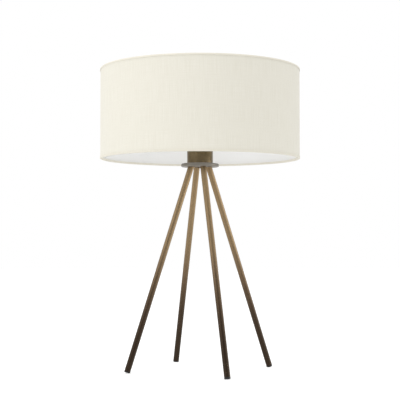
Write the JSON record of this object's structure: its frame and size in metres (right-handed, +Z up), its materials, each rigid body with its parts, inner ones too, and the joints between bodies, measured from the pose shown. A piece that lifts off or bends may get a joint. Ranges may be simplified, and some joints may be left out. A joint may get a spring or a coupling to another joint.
{
  "type": "table lamp",
  "caption": "Table lamp with splayed round metal legs under a small round plate and a wide straight drum shade of cream cloth over a stiff white lining.",
  "frame": {"origin": "on the floor below the lamp's axis", "axes": "+Z up along the lamp's axis, -Y to the front, +X to the right seen from the front"},
  "size_m": [0.3999, 0.4, 0.6],
  "materials": {
    "leg_patina": "antique brass that darkens to deep bronze towards the feet, satin",
    "plate_patina": "grey-brown antique metal, satin",
    "cup_patina": "olive-brown antique brass, satin",
    "foot_cap": "matt black",
    "plated_steel": "zinc plated",
    "black_plastic": "satin black thermoset",
    "porcelain": "unglazed white",
    "contact_brass": "bright rolled strip",
    "shade_cloth": "cream plain weave with faint slubs",
    "hem_tape": "cream folded tape, a shade darker than the cover",
    "shade_lining": "smooth matt white sheet",
    "white_wire": "white powder coat",
    "bulb_opal": "opal white, satin",
    "bulb_white": "white",
    "bulb_board_metal": "white-masked aluminium board",
    "bulb_board_green": "green laminate",
    "bulb_nickel": "nickel plated",
    "black_glass": "black"
  },
  "bodies": {
    "base": {"leg_back_right": "leg_patina", "leg_back_left": "leg_patina", "leg_front_left": "leg_patina", "leg_front_right": "leg_patina", "foot_cap_back_right": "foot_cap", "foot_cap_back_left": "foot_cap", "foot_cap_front_left": "foot_cap", "foot_cap_front_right": "foot_cap", "leg_inserts": "plated_steel", "leg_washers": "plated_steel", "leg_screws": "plated_steel", "top_plate": "plate_patina", "socket_cup": "cup_patina", "nipple": "plated_steel", "nipple_nut": "plated_steel", "cup_washer": "plated_steel", "cord_sleeve": "black_plastic", "holder_cap": "black_plastic", "contact_block": "porcelain", "terminal_screws": "plated_steel", "centre_contact": "contact_brass", "side_contact": "contact_brass", "thread_shell": "contact_brass", "holder_skirt": "black_plastic"},
    "ring": {"shade_ring": "black_plastic"},
    "shade": {"shade_cloth": "shade_cloth", "shade_lining": "shade_lining", "shade_seam": "shade_cloth", "shade_bottom_hem": "hem_tape", "shade_top_hem": "hem_tape", "shade_bottom_wire": "white_wire", "shade_top_wire": "white_wire", "spider_fitter": "white_wire", "spider_arm_back": "white_wire", "spider_arm_front_left": "white_wire", "spider_arm_front_right": "white_wire"},
    "bulb": {"bulb_globe": "bulb_opal", "bulb_housing": "bulb_white", "bulb_light_board": "bulb_board_metal", "bulb_driver_board": "bulb_board_green", "bulb_cap": "bulb_nickel", "bulb_insulator": "black_glass", "bulb_contact": "bulb_nickel"}
  },
  "joints": [
    {"name": "shade_turn", "type": "hinge", "parent": "base", "child": "shade", "pos_m": [0, 0, 0.4742], "axis": [0, 0, 1], "continuous": true},
    {"name": "ring_turn", "type": "hinge", "parent": "base", "child": "ring", "pos_m": [0, 0, 0.4797], "axis": [0, 0, 1], "continuous": true},
    {"name": "bulb_turn", "type": "hinge", "parent": "base", "child": "bulb", "pos_m": [0, 0, 0.4855], "axis": [0, 0, 1], "continuous": true}
  ]
}
